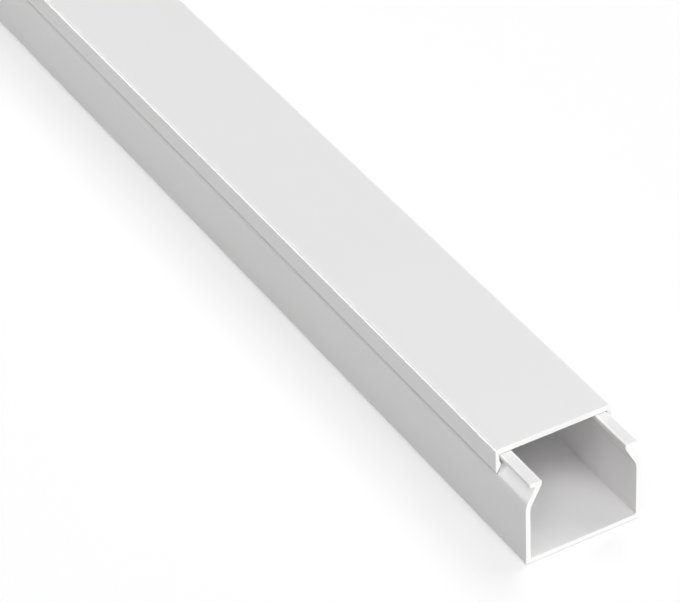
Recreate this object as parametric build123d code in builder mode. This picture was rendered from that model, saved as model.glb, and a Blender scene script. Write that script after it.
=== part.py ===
from build123d import *
from math import cos, radians, tan
import os

# Cord cover raceway: an extruded channel for cables, with a cover that snaps on along its top.
# Millimetres. +X runs along the length to the near end, +Y across the width and +Z up. The origin
# is the middle of the channel's underside, which is the face that goes against the wall.

# Overall sizes, closed
length = 400.0
width = 25.0
height = 20.0

# How far the cover is slid back from the channel's near end
cover_setback = 10.0

# Channel: floor, upright walls, inclined shoulders and the lips that the cover hooks on
floor_thickness = 1.1
wall_thickness = 1.05
shoulder_thickness = 1.2
shoulder_angle = 28.0
lip_thickness = 1.05
bend_radius = 3.0
foot_radius = 0.5
floor_corner_radius = 0.4
lip_nose_radius = 0.3
lip_inner_radius = 0.35
lip_root_radius = 0.25

# Cover: plate, legs, and the barb inside each leg
plate_thickness = 1.3
leg_thickness = 0.85
leg_tip_thickness = 0.25
barb_catch = 0.3
barb_rise = 1.2
cover_edge_radius = 0.8
leg_root_radius = 0.2
barb_radius = 0.2
leg_tip_radius = 0.15

# Clearances of the snap fit
seat_clearance = 0.1
side_clearance = 0.1
catch_clearance = 0.15
shoulder_clearance = 0.15
seam_clearance = 0.31

# The lip lies under the plate and stops short of the leg
side = width / 2
plate_underside = height - plate_thickness
lip_top = plate_underside - seat_clearance
lip_underside = lip_top - lip_thickness
lip_end = side - leg_thickness - side_clearance

# The barb starts under the lip and reaches in past the lip's end
barb_top = lip_underside - catch_clearance
barb_peak = barb_top - barb_rise
barb_inner = lip_end - barb_catch

# The shoulder leans in behind the barb, so its bend is where its outer face meets the upright wall
lean = tan(radians(shoulder_angle))
slant = cos(radians(shoulder_angle))
bend_height = barb_peak - (side - barb_inner + shoulder_clearance / slant) / lean
lip_root = side - (lip_underside - bend_height) * lean
lip_inner = lip_root - shoulder_thickness / slant
wall_inner = side - wall_thickness
inner_bend_height = lip_underside - (wall_inner - lip_inner) / lean

# The leg ends where the shoulder has leaned far enough to leave room for its tip
leg_end = bend_height + (leg_tip_thickness + seam_clearance / slant) / lean


def draw_both_sides(corners):
    """Draw the closed outline whose +Y half is listed as (y, z, corner radius), bottom to top."""
    other_side = [(-y, z, radius) for y, z, radius in reversed(corners)]
    outline = corners + other_side
    points = [(y, z) for y, z, radius in outline]
    FilletPolyline(*points, radius=[radius for y, z, radius in outline], close=True)


# Base channel: one extrusion, open along the top between its two lips
channel_corners = [
    (side, 0, foot_radius),
    (side, bend_height, bend_radius + wall_thickness),
    (lip_root, lip_underside, lip_root_radius),
    (lip_end, lip_underside, lip_nose_radius),
    (lip_end, lip_top, lip_nose_radius),
    (lip_inner, lip_top, lip_inner_radius),
    (lip_inner, lip_underside, 0),
    (wall_inner, inner_bend_height, bend_radius),
    (wall_inner, floor_thickness, floor_corner_radius),
]
with BuildPart() as base_channel:
    with BuildSketch(Plane.YZ.offset(-length / 2)):
        with BuildLine():
            draw_both_sides(channel_corners)
        make_face()
    extrude(amount=length)

# Snap cover: a flat plate whose legs stand flush with the channel's sides
cover_corners = [
    (side, height, cover_edge_radius),
    (side, leg_end, leg_tip_radius),
    (side - leg_tip_thickness, leg_end, 0),
    (barb_inner, barb_peak, barb_radius),
    (side - leg_thickness, barb_top, barb_radius),
    (side - leg_thickness, plate_underside, leg_root_radius),
]
with BuildPart() as snap_cover:
    with BuildSketch(Plane.YZ.offset(-length / 2 - cover_setback)):
        with BuildLine():
            draw_both_sides(cover_corners)
        make_face()
    extrude(amount=length)

base_channel.part.label = "base_channel"
snap_cover.part.label = "snap_cover"

os.makedirs("parts", exist_ok=True)
export_step(base_channel.part, "parts/base_channel.step")
export_step(snap_cover.part, "parts/snap_cover.step")
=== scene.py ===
"""The look of a white cord cover raceway: an extruded channel with its snap-on cover slid back.

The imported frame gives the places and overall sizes, in metres. The section's own sizes are named
here in millimetres, and both pieces are drawn from them as finely rounded extrusions.
"""
import logging
import math
from dataclasses import dataclass, replace
from enum import Enum
from typing import Any

import bpy
from mathutils import Matrix, Quaternion, Vector


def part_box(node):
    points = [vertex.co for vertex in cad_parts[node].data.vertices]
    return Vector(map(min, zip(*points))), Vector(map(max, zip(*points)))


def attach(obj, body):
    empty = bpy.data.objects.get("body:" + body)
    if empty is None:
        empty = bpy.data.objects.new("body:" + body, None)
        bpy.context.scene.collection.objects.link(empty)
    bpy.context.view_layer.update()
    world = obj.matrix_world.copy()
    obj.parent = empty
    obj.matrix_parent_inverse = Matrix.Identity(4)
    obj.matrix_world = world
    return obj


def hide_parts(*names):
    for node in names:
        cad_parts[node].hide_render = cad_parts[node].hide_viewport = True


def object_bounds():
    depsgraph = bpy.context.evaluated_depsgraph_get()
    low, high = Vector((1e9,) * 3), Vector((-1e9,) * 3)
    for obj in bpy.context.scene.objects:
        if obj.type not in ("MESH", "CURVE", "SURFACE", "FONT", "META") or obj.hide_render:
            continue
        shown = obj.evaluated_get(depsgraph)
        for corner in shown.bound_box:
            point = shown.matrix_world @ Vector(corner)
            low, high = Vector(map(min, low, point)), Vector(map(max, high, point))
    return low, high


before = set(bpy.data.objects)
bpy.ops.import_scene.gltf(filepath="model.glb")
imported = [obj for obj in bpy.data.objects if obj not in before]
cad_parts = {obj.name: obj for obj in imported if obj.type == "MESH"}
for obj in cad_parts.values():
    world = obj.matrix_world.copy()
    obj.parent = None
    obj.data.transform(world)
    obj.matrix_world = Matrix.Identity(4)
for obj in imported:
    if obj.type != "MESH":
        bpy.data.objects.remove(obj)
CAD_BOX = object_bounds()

LOG = logging.getLogger("raceway")
MM = 0.001
PAINTED_HIGHLIGHT = "painted_highlight_edge"
PAINTED_SEAM_SHADE = "seam_painted_shade"
# Above 1, the palest line of a painted highlight on an arc lies nearer to the level face than to the
# side
HIGHLIGHT_BIAS = 1.8
# Blender's wave repeats every 2 pi / 20 of its scaled input
WAVE_PERIOD = 2 * math.pi / 20


class Face(Enum):
    """The two kinds of surface on an extrusion, with the material slot index of each."""

    SKIN = 0
    SAWN = 1


def linear_rgba(srgb_hex: str) -> tuple[float, float, float, float]:
    """Turn an sRGB hex colour into the linear colour that the shaders take.

    Args:
        srgb_hex: Six hex digits after a hash sign.

    Returns:
        Linear red, green and blue, with an alpha of 1.
    """
    channels = [int(srgb_hex[i:i + 2], 16) / 255 for i in (1, 3, 5)]
    # The numbers are those of the sRGB standard's curve
    linear = [c / 12.92 if c <= 0.04045 else ((c + 0.055) / 1.055) ** 2.4 for c in channels]
    return (linear[0], linear[1], linear[2], 1.0)


def add_node(tree: bpy.types.NodeTree, kind: str, inputs: dict[str | int, Any] | None = None,
             **settings: Any) -> bpy.types.Node:
    """Add one node to a shader tree, with its settings and links.

    Args:
        tree: The tree that gets the node.
        kind: Blender's type name of the node.
        inputs: Value or feeding socket of each input, by the input's name or number.
        **settings: Properties of the node itself.

    Returns:
        The new node.
    """
    node = tree.nodes.new(kind)
    for name, value in settings.items():
        setattr(node, name, value)
    for name, value in (inputs or {}).items():
        if isinstance(value, bpy.types.NodeSocket):
            tree.links.new(value, node.inputs[name])
        else:
            node.inputs[name].default_value = value
    return node


def blank_material(name: str) -> bpy.types.Material:
    """Make a material whose shader tree is empty.

    Args:
        name: The material's name.

    Returns:
        The new material.
    """
    material = bpy.data.materials.new(name)
    material.use_nodes = True
    material.node_tree.nodes.clear()
    return material


@dataclass(frozen=True)
class ExtrudedSkin:
    """Rigid PVC as it leaves the die: white, satin, with faint lines along the draw.

    The eye sees an even white with a soft sheen that breaks into fine lengthwise streaks, a
    slow drift in tone where the melt was mixed unevenly, a painted highlight that pales some outer
    edges, and a grey band of painted shade along the seam.
    """

    name: str = "extruded_white_pvc"
    light_hex: str = "#ECEBEB"
    dark_hex: str = "#E8E7E7"
    painted_highlight_hex: str = "#FCFCFC"
    painted_shade_hex: str = "#B9B7B4"
    ior: float = 1.53
    roughness_low: float = 0.20
    roughness_high: float = 0.26
    drift_mm: float = 45.0
    drift_detail: float = 3.0
    line_pitch_mm: float = 0.7
    line_run_mm: float = 260.0
    line_depth_mm: float = 0.004
    line_detail: float = 2.0
    line_low: float = 0.3
    line_high: float = 0.7
    grain_mm: float = 0.25
    grain_depth_mm: float = 0.001
    grain_detail: float = 1.0

    def material(self) -> bpy.types.Material:
        """Build the skin's shader.

        Returns:
            The finished material.
        """
        material = blank_material(self.name)
        tree = material.node_tree
        place = add_node(tree, "ShaderNodeTexCoord").outputs["Object"]

        drift = add_node(tree, "ShaderNodeTexNoise",
                         {"Vector": place, "Scale": 1 / (self.drift_mm * MM),
                          "Detail": self.drift_detail})
        melt = add_node(tree, "ShaderNodeMix",
                        {"Factor": drift.outputs["Fac"], "A": linear_rgba(self.dark_hex),
                         "B": linear_rgba(self.light_hex)}, data_type="RGBA")
        # Painted highlight: a paler colour along some rounded edges, where highlight lines show
        painted_highlight = add_node(tree, "ShaderNodeAttribute", attribute_name=PAINTED_HIGHLIGHT)
        highlighted = add_node(tree, "ShaderNodeMix",
                         {"Factor": painted_highlight.outputs["Fac"], "A": melt.outputs["Result"],
                          "B": linear_rgba(self.painted_highlight_hex)}, data_type="RGBA")
        # Painted shade: a grey band along the seam, where the other piece shades it
        painted_shade_node = add_node(tree, "ShaderNodeAttribute", attribute_name=PAINTED_SEAM_SHADE)
        colour = add_node(tree, "ShaderNodeMix",
                          {"Factor": painted_shade_node.outputs["Fac"], "A": highlighted.outputs["Result"],
                           "B": linear_rgba(self.painted_shade_hex)}, data_type="RGBA")

        # Die lines run long along the draw, and lie as close as the pitch across the section. Real lines
        # and grain are finer: both are drawn as coarse as they need to be to show
        across = 1 / (self.line_pitch_mm * MM)
        stretched = add_node(tree, "ShaderNodeVectorMath",
                             {0: place, 1: (1 / (self.line_run_mm * MM), across, across)},
                             operation="MULTIPLY")
        lines = add_node(tree, "ShaderNodeTexNoise",
                         {"Vector": stretched.outputs["Vector"], "Scale": 1.0,
                          "Detail": self.line_detail})
        grain = add_node(tree, "ShaderNodeTexNoise",
                         {"Vector": place, "Scale": 1 / (self.grain_mm * MM),
                          "Detail": self.grain_detail})
        roughness = add_node(tree, "ShaderNodeMapRange",
                             {"Value": lines.outputs["Fac"],
                              "From Min": self.line_low, "From Max": self.line_high,
                              "To Min": self.roughness_low, "To Max": self.roughness_high})
        line_bump = add_node(tree, "ShaderNodeBump",
                             {"Height": lines.outputs["Fac"], "Strength": 1.0,
                              "Distance": self.line_depth_mm * MM})
        grain_bump = add_node(tree, "ShaderNodeBump",
                              {"Height": grain.outputs["Fac"], "Strength": 1.0,
                               "Distance": self.grain_depth_mm * MM,
                               "Normal": line_bump.outputs["Normal"]})

        shader = add_node(tree, "ShaderNodeBsdfPrincipled",
                          {"Base Color": colour.outputs["Result"],
                           "Roughness": roughness.outputs["Result"], "IOR": self.ior,
                           "Normal": grain_bump.outputs["Normal"]})
        add_node(tree, "ShaderNodeOutputMaterial", {"Surface": shader.outputs["BSDF"]})
        return material


@dataclass(frozen=True)
class SawnFace:
    """Rigid PVC where the saw cut it to length: whiter and duller than the skin.

    The eye sees a bright matte white with fine, nearly straight scores left by the blade's teeth.
    """

    name: str = "sawn_white_pvc"
    light_hex: str = "#F8F8F7"
    dark_hex: str = "#F2F2F1"
    ior: float = 1.53
    roughness: float = 0.62
    score_pitch_mm: float = 0.4
    score_depth_mm: float = 0.006
    score_waver: float = 2.5
    score_detail: float = 2.0
    score_detail_scale: float = 0.6

    def material(self) -> bpy.types.Material:
        """Build the cut face's shader.

        Returns:
            The finished material.
        """
        material = blank_material(self.name)
        tree = material.node_tree
        place = add_node(tree, "ShaderNodeTexCoord").outputs["Object"]

        # A real blade's scores are closer: these are drawn as coarse as they need to be to show
        scores = add_node(tree, "ShaderNodeTexWave",
                          {"Vector": place, "Scale": WAVE_PERIOD / (self.score_pitch_mm * MM),
                           "Distortion": self.score_waver, "Detail": self.score_detail,
                           "Detail Scale": self.score_detail_scale},
                          wave_type="BANDS", bands_direction="Z")
        colour = add_node(tree, "ShaderNodeMix",
                          {"Factor": scores.outputs["Fac"], "A": linear_rgba(self.dark_hex),
                           "B": linear_rgba(self.light_hex)}, data_type="RGBA")
        bump = add_node(tree, "ShaderNodeBump",
                        {"Height": scores.outputs["Fac"], "Strength": 1.0,
                         "Distance": self.score_depth_mm * MM})
        shader = add_node(tree, "ShaderNodeBsdfPrincipled",
                          {"Base Color": colour.outputs["Result"], "Roughness": self.roughness,
                           "IOR": self.ior, "Normal": bump.outputs["Normal"]})
        add_node(tree, "ShaderNodeOutputMaterial", {"Surface": shader.outputs["BSDF"]})
        return material


class EdgeHighlight(Enum):
    """Where a corner that stands proud gets a painted highlight along its arc."""

    NONE = "nowhere"
    ARC = "on its arc"
    LEVEL = "on its arc and a little way onto the level face"

    def amount(self, normal: Vector) -> float:
        """Say how strong the painted highlight is at one point of the corner's arc.

        Args:
            normal: The arc's outward normal there.

        Returns:
            From 0, as drawn, to 1, painted pale as a highlight.
        """
        if self is EdgeHighlight.NONE:
            return 0.0
        if self is EdgeHighlight.LEVEL:
            return normal.y ** 2
        tilt = math.asin(min(1.0, abs(normal.y))) / (math.pi / 2)
        return math.sin(math.pi * tilt ** HIGHLIGHT_BIAS) ** 2


@dataclass(frozen=True)
class Corner:
    """One corner of a section's outline, in millimetres, with the radius that rounds it."""

    y: float
    z: float
    radius: float = 0.0
    painted_light: EdgeHighlight = EdgeHighlight.NONE


@dataclass(frozen=True)
class OutlinePoint:
    """One point of a rounded outline, in the section's plane.

    The normals of the sides before and after it differ at a sharp corner and are the same elsewhere.
    The painted highlight says how pale the edge is painted there, from 0 to 1.
    """

    place: Vector
    normal_before: Vector
    normal_after: Vector
    painted_highlight: float = 0.0

    def drawn_in(self, depth: float) -> Vector:
        """Give the point's place once both of its sides are drawn in.

        Args:
            depth: How far the sides are drawn in.

        Returns:
            The place at which the two drawn-in sides meet.
        """
        both = self.normal_before + self.normal_after
        return self.place - both * (depth / (1 + self.normal_before.dot(self.normal_after)))


@dataclass(frozen=True)
class Outline:
    """A closed section in millimetres, symmetric about its middle, by the corners of its +Y half."""

    corners: list[Corner]
    step_deg: float = 7.5
    highlight_fade: float = 0.2

    def mirrored(self) -> list[Corner]:
        """Give the corners of both halves, in order round the section."""
        other = [replace(corner, y=-corner.y) for corner in reversed(self.corners)]
        return self.corners + other

    def round_corner(self, before: Corner, corner: Corner, after: Corner) -> list[OutlinePoint]:
        """Round one corner.

        Args:
            before: The corner before it.
            corner: The corner to round.
            after: The corner after it.

        Returns:
            The points along the corner's arc, or the one point of a sharp corner.
        """
        place = Vector((corner.y, corner.z))
        arriving = (place - Vector((before.y, before.z))).normalized()
        leaving = (Vector((after.y, after.z)) - place).normalized()
        # The outline runs anticlockwise seen from +X, so the outside is on its right
        first, last = Vector((arriving.y, -arriving.x)), Vector((leaving.y, -leaving.x))
        if not corner.radius:
            return [OutlinePoint(place, first, last)]
        turn = math.atan2(arriving.x * leaving.y - arriving.y * leaving.x, arriving.dot(leaving))
        bulge = math.copysign(corner.radius, turn)
        centre = place - (first + last) * (bulge / (1 + first.dot(last)))
        steps = max(1, math.ceil(abs(math.degrees(turn)) / self.step_deg))
        points: list[OutlinePoint] = []
        for i in range(steps + 1):
            normal = Matrix.Rotation(turn * i / steps, 2) @ first
            painted_highlight = corner.painted_light.amount(normal)
            points.append(OutlinePoint(centre + normal * bulge, normal, normal, painted_highlight))
        # A painted highlight that runs onto the level face fades out there
        if corner.painted_light is EdgeHighlight.LEVEL and abs(first.y) > abs(last.y):
            points.insert(0, OutlinePoint(points[0].place - arriving * self.highlight_fade, first, first))
        elif corner.painted_light is EdgeHighlight.LEVEL:
            points.append(OutlinePoint(points[-1].place + leaving * self.highlight_fade, last, last))
        return points

    def points(self) -> list[OutlinePoint]:
        """Round every corner of both halves.

        Returns:
            The rounded outline's points, in order round the section.
        """
        corners = self.mirrored()
        following = corners[1:] + corners[:1]
        points: list[OutlinePoint] = []
        for i, (corner, after) in enumerate(zip(corners, following)):
            points += self.round_corner(corners[i - 1], corner, after)
        return points


@dataclass(frozen=True)
class SnapSection:
    """The sizes that channel and cover share, in millimetres, and what follows from them."""

    width: float
    height: float
    floor_thickness: float = 1.1
    wall_thickness: float = 1.05
    shoulder_thickness: float = 1.2
    shoulder_deg: float = 28.0
    lip_thickness: float = 1.05
    lip_inner_radius: float = 0.35
    bend_radius: float = 3.0
    foot_radius: float = 0.5
    floor_corner_radius: float = 0.4
    lip_nose_radius: float = 0.3
    lip_root_radius: float = 0.25
    plate_thickness: float = 1.3
    leg_thickness: float = 0.85
    leg_tip_thickness: float = 0.25
    leg_tip_radius: float = 0.15
    barb_catch: float = 0.3
    barb_rise: float = 1.2
    cover_edge_radius: float = 0.8
    leg_root_radius: float = 0.2
    barb_radius: float = 0.2
    seat_clearance: float = 0.1
    side_clearance: float = 0.1
    catch_clearance: float = 0.15
    shoulder_clearance: float = 0.15
    seam_clearance: float = 0.31
    seam_painted_shade_rise: float = 0.4

    @property
    def side(self) -> float:
        """Distance of the outer sides from the middle."""
        return self.width / 2

    @property
    def plate_underside(self) -> float:
        """Height of the cover plate's underside."""
        return self.height - self.plate_thickness

    @property
    def lip_top(self) -> float:
        """Height of the lips' tops, which the plate clears."""
        return self.plate_underside - self.seat_clearance

    @property
    def lip_underside(self) -> float:
        """Height of the lips' undersides, which the barbs hook on."""
        return self.lip_top - self.lip_thickness

    @property
    def lip_end(self) -> float:
        """Distance of the lips' outer ends from the middle."""
        return self.side - self.leg_thickness - self.side_clearance

    @property
    def barb_top(self) -> float:
        """Height at which the barb starts, under the lip."""
        return self.lip_underside - self.catch_clearance

    @property
    def barb_peak(self) -> float:
        """Height at which the barb reaches furthest in."""
        return self.barb_top - self.barb_rise

    @property
    def barb_inner(self) -> float:
        """Distance of the barb's peak from the middle."""
        return self.lip_end - self.barb_catch

    @property
    def lean(self) -> float:
        """How far the shoulder moves in for each millimetre up."""
        return math.tan(math.radians(self.shoulder_deg))

    @property
    def slant(self) -> float:
        """Share of a level distance across the shoulder that is square to its face."""
        return math.cos(math.radians(self.shoulder_deg))

    @property
    def bend_height(self) -> float:
        """Height at which the shoulder's outer face would meet the upright wall."""
        level_gap = self.side - self.barb_inner + self.shoulder_clearance / self.slant
        return self.barb_peak - level_gap / self.lean

    @property
    def lip_root(self) -> float:
        """Distance from the middle at which the shoulder meets the lip's underside."""
        return self.side - (self.lip_underside - self.bend_height) * self.lean

    @property
    def lip_inner(self) -> float:
        """Distance of the lips' inner faces from the middle."""
        return self.lip_root - self.shoulder_thickness / self.slant

    @property
    def wall_inner(self) -> float:
        """Distance of the upright walls' inner faces from the middle."""
        return self.side - self.wall_thickness

    @property
    def inner_bend_height(self) -> float:
        """Height at which the shoulder's inner face would meet the upright wall's."""
        return self.lip_underside - (self.wall_inner - self.lip_inner) / self.lean

    @property
    def leg_end(self) -> float:
        """Height of the legs' ends, above the bend."""
        level_gap = self.leg_tip_thickness + self.seam_clearance / self.slant
        return self.bend_height + level_gap / self.lean

    @property
    def painted_shade_top(self) -> float:
        """Height above the seam at which its painted shade has faded out."""
        return self.leg_end + self.seam_painted_shade_rise

    def channel_outline(self) -> Outline:
        """Lay out the channel's section.

        Returns:
            The corners from the outer bottom edge over the lip to the floor.
        """
        return Outline([
            Corner(self.side, 0, self.foot_radius),
            Corner(self.side, self.bend_height, self.bend_radius + self.wall_thickness),
            # On the straight of the shoulder, where the seam's painted shade has faded out
            Corner(self.side - (self.painted_shade_top - self.bend_height) * self.lean, self.painted_shade_top),
            Corner(self.lip_root, self.lip_underside, self.lip_root_radius),
            Corner(self.lip_end, self.lip_underside, self.lip_nose_radius),
            # The lip's top edges get a painted highlight along their arcs
            Corner(self.lip_end, self.lip_top, self.lip_nose_radius, EdgeHighlight.ARC),
            Corner(self.lip_inner, self.lip_top, self.lip_inner_radius, EdgeHighlight.LEVEL),
            Corner(self.lip_inner, self.lip_underside),
            Corner(self.wall_inner, self.inner_bend_height, self.bend_radius),
            Corner(self.wall_inner, self.floor_thickness, self.floor_corner_radius),
        ])

    def cover_outline(self) -> Outline:
        """Lay out the cover's section.

        Returns:
            The corners from the inner corner down the leg and up to the top edge.
        """
        leg_inner = self.side - self.leg_thickness
        return Outline([
            Corner(leg_inner, self.plate_underside, self.leg_root_radius),
            Corner(leg_inner, self.barb_top, self.barb_radius),
            Corner(self.barb_inner, self.barb_peak, self.barb_radius),
            Corner(self.side - self.leg_tip_thickness, self.leg_end),
            Corner(self.side, self.leg_end, self.leg_tip_radius),
            # On the straight of the leg, where the seam's painted shade has faded out
            Corner(self.side, self.painted_shade_top),
            # The cover's top edge gets a painted highlight along its arc
            Corner(self.side, self.height, self.cover_edge_radius, EdgeHighlight.ARC),
        ])


@dataclass(frozen=True)
class PaintedSeamShade:
    """The band of painted shade along a seam, where the other piece lies beside it, in millimetres."""

    height: float
    covered_from: float
    covered_to: float
    reach: float = 0.3
    fade: float = 0.5

    def stations(self) -> list[float]:
        """Give the places along the length between which the dust fades in and out."""
        return [self.covered_from, self.covered_from + self.fade,
                self.covered_to - self.fade, self.covered_to]

    def amount(self, along: float, up: float) -> float:
        """Say how much painted shade lies at a place.

        Args:
            along: Place along the length.
            up: Height of the place.

        Returns:
            From 0, none, to 1, full painted shade.
        """
        # Full painted shade in a band at the seam's height, where the other piece lies beside it
        return float(self.covered_from < along < self.covered_to and abs(up - self.height) < self.reach)


@dataclass
class ExtrudedPiece:
    """One length of a section, sawn square at both ends, that stands for a node of the frame."""

    name: str
    node: str
    body: str
    slot: str
    outline: Outline
    painted_shade: PaintedSeamShade
    deburr_mm: float = 0.05
    stretch_mm: float = 10.0

    def rings(self, low_x: float, high_x: float) -> list[tuple[float, float]]:
        """Give the stations that the section is drawn at.

        Args:
            low_x: Place of the far end, in millimetres.
            high_x: Place of the near end, in millimetres.

        Returns:
            Place along the length and how far the section is drawn in there, for each station.
        """
        count = max(1, round((high_x - low_x) / self.stretch_mm))
        first, last = low_x + self.deburr_mm, high_x - self.deburr_mm
        between = [first + (last - first) * i / count for i in range(count + 1)]
        between += [x for x in self.painted_shade.stations() if first < x < last]
        whole = [(x, 0.0) for x in sorted(between)]
        return [(low_x, self.deburr_mm)] + whole + [(high_x, self.deburr_mm)]

    def mark_painted_light(self, mesh: bpy.types.Mesh, section: list[OutlinePoint],
                  rings: list[tuple[float, float]]) -> None:
        """Write the painted highlight and the painted seam shade on the skin, for its shader to read.

        Args:
            mesh: The mesh, whose points run ring by ring.
            section: The outline's points, one for each point of a ring.
            rings: The stations that the section is drawn at.
        """
        marks = {
            # Painted highlight by point of the outline, painted seam shade by place along the seam
            PAINTED_HIGHLIGHT: [point.painted_highlight for point in section] * len(rings),
            PAINTED_SEAM_SHADE: [self.painted_shade.amount(x, point.place.y) for x, _ in rings for point in section],
        }
        for name, amounts in marks.items():
            mesh.attributes.new(name, "FLOAT", "POINT").data.foreach_set("value", amounts)

    def mesh(self, low_x: float, high_x: float) -> bpy.types.Mesh:
        """Draw the section along the length, with its own normals.

        Args:
            low_x: Place of the far end, in millimetres.
            high_x: Place of the near end, in millimetres.

        Returns:
            The mesh, in metres.
        """
        section = self.outline.points()
        rings = self.rings(low_x, high_x)
        count, last = len(section), len(rings) - 1
        places = [Vector((x, *point.drawn_in(depth))) * MM for x, depth in rings for point in section]

        # A side's face takes the section's normals, except where it meets a cut end
        end_normal = {0: Vector((-1, 0, 0)), last: Vector((1, 0, 0))}
        faces: list[list[int]] = []
        normals: list[Vector] = []
        for ring in range(last):
            for i in range(count):
                j = (i + 1) % count
                leaving = Vector((0, *section[i].normal_after))
                arriving = Vector((0, *section[j].normal_before))
                corners = ((ring, leaving), (ring, arriving), (ring + 1, arriving), (ring + 1, leaving))
                normals += [end_normal.get(at, normal) for at, normal in corners]
                faces.append([ring * count + i, ring * count + j,
                              (ring + 1) * count + j, (ring + 1) * count + i])
        finishes = [Face.SKIN.value] * len(faces) + [Face.SAWN.value] * 2
        faces.append(list(reversed(range(count))))
        faces.append(list(range(last * count, (last + 1) * count)))
        normals += [end_normal[0]] * count + [end_normal[last]] * count

        mesh = bpy.data.meshes.new(self.name)
        mesh.from_pydata(places, [], faces)
        self.mark_painted_light(mesh, section, rings)
        mesh.polygons.foreach_set("material_index", finishes)
        mesh.polygons.foreach_set("use_smooth", [True] * len(faces))
        mesh.normals_split_custom_set(normals)
        return mesh

    def build(self) -> bpy.types.Object:
        """Make the piece where its node is.

        Returns:
            The new object, riding on the node's body.
        """
        low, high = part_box(self.node)
        piece = bpy.data.objects.new(self.name, self.mesh(low.x / MM, high.x / MM))
        bpy.context.scene.collection.objects.link(piece)
        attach(piece, self.body)
        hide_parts(self.node)
        return piece

    def dress(self, piece: bpy.types.Object, skin: bpy.types.Material,
              sawn: bpy.types.Material) -> None:
        """Give the piece its finishes.

        Args:
            piece: The object that build made.
            skin: Finish of the drawn surfaces.
            sawn: Finish of the two cut ends.
        """
        by_face = {Face.SKIN: skin, Face.SAWN: sawn}
        for face in Face:
            piece.data.materials.append(by_face[face])


class LampReach(Enum):
    """What a lamp is seen in, by whether it lights diffuse surfaces too."""

    LIGHT_AND_GLOSS = True
    GLOSS_ONLY = False


@dataclass(frozen=True)
class Lamp:
    """A softbox so far away that it lights the whole length evenly, by the direction towards it."""

    name: str
    towards: tuple[float, float, float]
    strength: float
    spread_deg: float = 30.0
    reach: LampReach = LampReach.LIGHT_AND_GLOSS

    def build(self) -> None:
        """Hang the lamp."""
        light = bpy.data.lights.new(self.name, "SUN")
        light.energy = self.strength
        light.angle = math.radians(self.spread_deg)
        lamp = bpy.data.objects.new(self.name, light)
        lamp.rotation_mode = "QUATERNION"
        lamp.rotation_quaternion = Vector(self.towards).to_track_quat("Z", "Y")
        # A sun lights the same from anywhere: its place only keeps the lamps apart in the viewport
        lamp.location = self.towards
        lamp.visible_diffuse = self.reach.value
        bpy.context.scene.collection.objects.link(lamp)


@dataclass(frozen=True)
class Studio:
    """The pale floor, the white surround and the lamps.

    The floor's lift is the glow that shows its paper as white, and the surround's number is its
    strength as a light.
    """

    floor_hex: str = "#E4E4E4"
    floor_lift: float = 0.27
    floor_half_m: float = 6.0
    floor_gap_mm: float = 0.15
    surround_hex: str = "#FFFFFF"
    surround: float = 0.117
    lamps: tuple[Lamp, ...] = (
        Lamp("side_softbox", (0.0, 0.454, 0.891), 0.58),
        Lamp("back_softbox", (-0.413, 0.492, 0.766), 0.48),
        Lamp("overhead_softbox", (0.5, 0.0, 0.866), 1.04),
        Lamp("left_softbox", (0.25, -0.433, 0.866), 0.60),
        Lamp("front_softbox", (0.975, -0.172, 0.139), 1.64),
        Lamp("edge_strip", (-0.705, -0.700, 0.110), 1.48, 24.0, LampReach.GLOSS_ONLY),
    )

    def shown_as_white(self, tree: bpy.types.NodeTree) -> bpy.types.NodeSocket:
        """Find the rays that look at the surround, straight or in a reflection.

        Args:
            tree: The shader tree that asks.

        Returns:
            A socket that is 1 for those rays and 0 for the ones that only carry light.
        """
        path = add_node(tree, "ShaderNodeLightPath")
        mirrored = add_node(tree, "ShaderNodeMath",
                            {0: path.outputs["Is Glossy Ray"], 1: path.outputs["Is Transmission Ray"]},
                            operation="MAXIMUM")
        shown = add_node(tree, "ShaderNodeMath",
                         {0: path.outputs["Is Camera Ray"], 1: mirrored.outputs["Value"]},
                         operation="MAXIMUM")
        return shown.outputs["Value"]

    def floor_material(self) -> bpy.types.Material:
        """Build the floor's finish: matte paper that shows as white, with its shadows.

        Returns:
            The finished material.
        """
        material = blank_material("studio_paper")
        tree = material.node_tree
        lift = add_node(tree, "ShaderNodeMath", {0: self.shown_as_white(tree), 1: self.floor_lift},
                        operation="MULTIPLY")
        paper = add_node(tree, "ShaderNodeBsdfDiffuse", {"Color": linear_rgba(self.floor_hex)})
        glow = add_node(tree, "ShaderNodeEmission", {"Strength": lift.outputs["Value"]})
        both = add_node(tree, "ShaderNodeAddShader",
                        {0: paper.outputs["BSDF"], 1: glow.outputs["Emission"]})
        add_node(tree, "ShaderNodeOutputMaterial", {"Surface": both.outputs["Shader"]})
        return material

    def lay_floor(self, level: float) -> None:
        """Lay the floor a hair below the object.

        The gap keeps the two faces out of one plane, and shows as a thin line of shadow.

        Args:
            level: Height of the object's underside.
        """
        half, z = self.floor_half_m, level - self.floor_gap_mm * MM
        mesh = bpy.data.meshes.new("studio_floor")
        corners = [(-half, -half, z), (half, -half, z), (half, half, z), (-half, half, z)]
        mesh.from_pydata(corners, [], [(0, 1, 2, 3)])
        floor = bpy.data.objects.new("studio_floor", mesh)
        floor.data.materials.append(self.floor_material())
        bpy.context.scene.collection.objects.link(floor)

    def surround_world(self) -> None:
        """Set the white surround: full white to the eye, dimmer as a light."""
        world = bpy.data.worlds.new("white_surround")
        bpy.context.scene.world = world
        world.use_nodes = True
        tree = world.node_tree
        tree.nodes.clear()
        level = add_node(tree, "ShaderNodeMapRange",
                         {"Value": self.shown_as_white(tree), "To Min": self.surround, "To Max": 1.0})
        sky = add_node(tree, "ShaderNodeBackground",
                       {"Color": linear_rgba(self.surround_hex), "Strength": level.outputs["Result"]})
        add_node(tree, "ShaderNodeOutputWorld", {"Surface": sky.outputs["Background"]})

    def build(self) -> None:
        """Lay the floor, set the surround and hang the lamps."""
        low, _ = CAD_BOX
        self.lay_floor(low.z)
        self.surround_world()
        for lamp in self.lamps:
            lamp.build()


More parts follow.
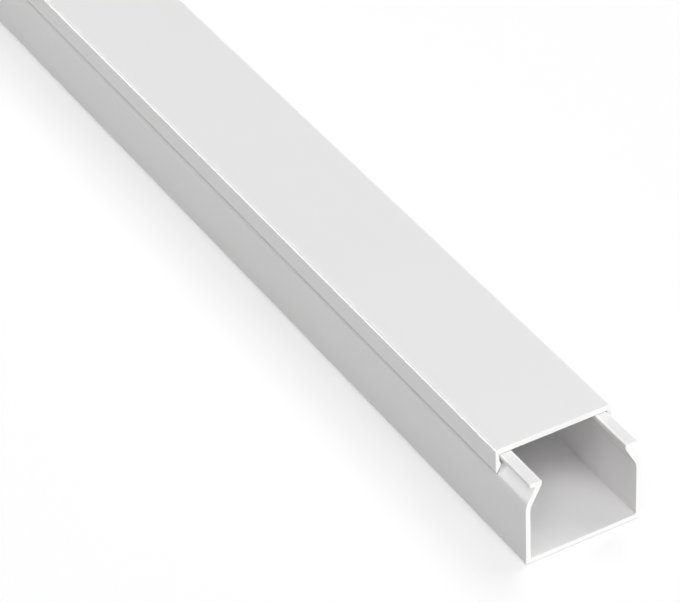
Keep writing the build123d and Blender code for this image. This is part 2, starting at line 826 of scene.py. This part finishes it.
@dataclass(frozen=True)
class PhotoCamera:
    """The photograph's viewpoint, by the point on the cover that it is aimed at."""

    azimuth_deg: float = 61.58
    elevation_deg: float = 36.79
    roll_deg: float = -2.83
    lens_mm: float = 184.7
    sensor_mm: float = 36.0
    distance_mm: float = 667.7
    aim_from_cover_end_mm: float = 54.35
    aim_from_middle_mm: float = -13.45
    near_clip_mm: float = 6.677

    def build(self) -> None:
        """Set up the camera and make it the scene's."""
        _, cover_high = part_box("snap_cover")
        aim = Vector((cover_high.x - self.aim_from_cover_end_mm * MM,
                      self.aim_from_middle_mm * MM, cover_high.z))
        azimuth, elevation = math.radians(self.azimuth_deg), math.radians(self.elevation_deg)
        back = Vector((math.sin(azimuth) * math.cos(elevation),
                       -math.cos(azimuth) * math.cos(elevation), math.sin(elevation)))
        data = bpy.data.cameras.new("photo_camera")
        data.lens = self.lens_mm
        data.sensor_width = self.sensor_mm
        data.clip_start = self.near_clip_mm * MM
        camera = bpy.data.objects.new("photo_camera", data)
        camera.location = aim + back * self.distance_mm * MM
        camera.rotation_mode = "QUATERNION"
        level = (-back).to_track_quat("-Z", "Y")
        camera.rotation_quaternion = level @ Quaternion((0, 0, 1), math.radians(self.roll_deg))
        bpy.context.scene.collection.objects.link(camera)
        bpy.context.scene.camera = camera


def seam_painted_shade(section: SnapSection, other_node: str) -> PaintedSeamShade:
    """Lay painted shade along a piece's seam as far as the other piece lies beside it.

    Args:
        section: The section, which gives the seam's height.
        other_node: Node of the other piece.

    Returns:
        The band of painted shade.
    """
    low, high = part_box(other_node)
    return PaintedSeamShade(section.leg_end, low.x / MM, high.x / MM)


def main() -> None:
    """Build the raceway's pieces, the studio and the camera."""
    logging.basicConfig(level=logging.INFO, format="%(name)s: %(message)s")
    bpy.context.scene.view_settings.view_transform = "Standard"

    cad_low, cad_high = CAD_BOX
    section = SnapSection(width=(cad_high.y - cad_low.y) / MM, height=(cad_high.z - cad_low.z) / MM)
    skin = ExtrudedSkin().material()
    sawn = SawnFace().material()
    pieces = [
        ExtrudedPiece("channel_extrusion", "base_channel", "channel", "channel_pvc",
                      section.channel_outline(), seam_painted_shade(section, "snap_cover")),
        ExtrudedPiece("cover_extrusion", "snap_cover", "cover", "cover_pvc",
                      section.cover_outline(), seam_painted_shade(section, "base_channel")),
    ]
    for piece in pieces:
        made = piece.build()
        piece.dress(made, skin, sawn)
        LOG.info("%s: %d faces", made.name, len(made.data.polygons))

    Studio().build()
    PhotoCamera().build()


if __name__ == "__main__":
    main()
